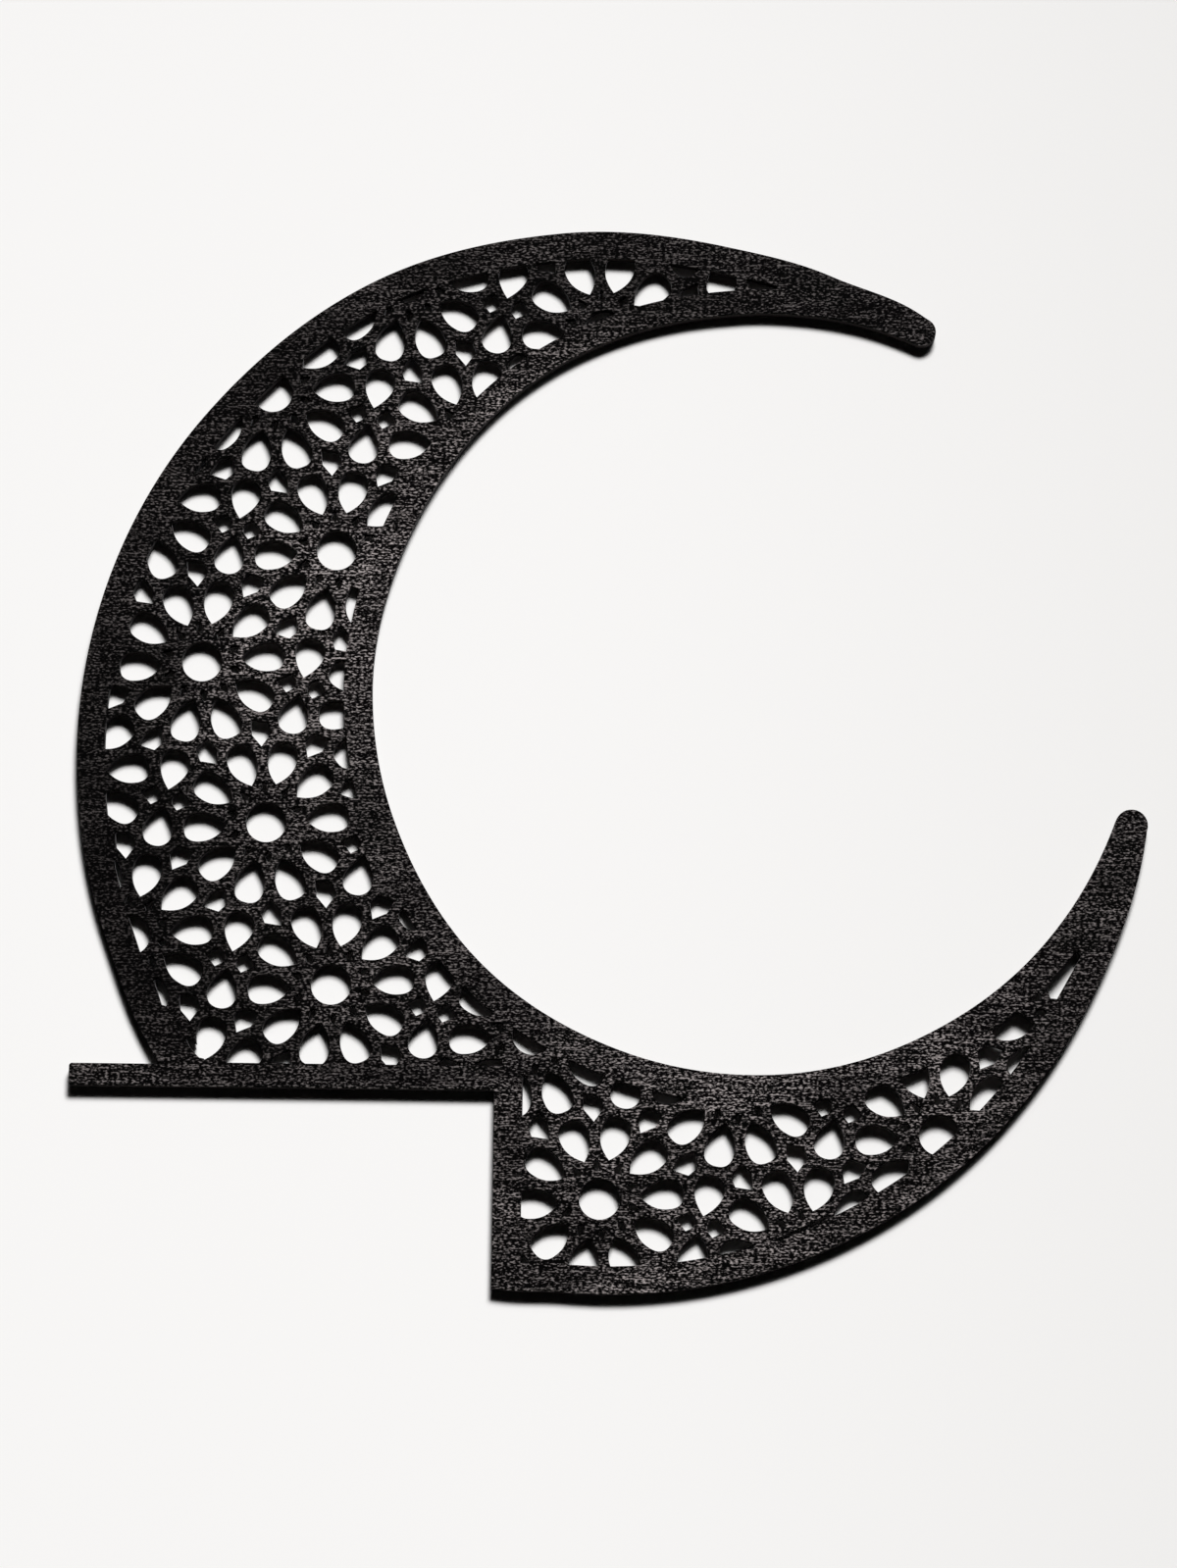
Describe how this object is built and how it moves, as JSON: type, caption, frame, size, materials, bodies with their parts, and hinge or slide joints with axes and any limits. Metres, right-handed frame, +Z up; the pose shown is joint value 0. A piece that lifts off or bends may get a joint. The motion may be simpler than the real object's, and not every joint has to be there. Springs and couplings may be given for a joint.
{
  "type": "door corner decoration",
  "caption": "Crescent moon cut-out that perches on the top corner of a door frame, with a pierced rosette lattice, a straight ledge and a notch.",
  "frame": {"origin": "inner corner of the notch, where the ledge's underside meets the notch's side, on the surface of the wall", "axes": "+Z up, +Y into the wall, +X to the right as seen from the room, along the ledge"},
  "size_m": [0.2735, 0.004, 0.2747],
  "materials": {
    "painted_wood": "satin",
    "foam": "matte"
  },
  "bodies": {
    "root": {"lattice_panel": "painted_wood", "foam_pad_1": "foam", "foam_pad_2": "foam", "foam_pad_3": "foam", "foam_pad_4": "foam", "foam_pad_5": "foam", "foam_pad_6": "foam", "foam_pad_7": "foam", "foam_pad_8": "foam"}
  },
  "joints": []
}
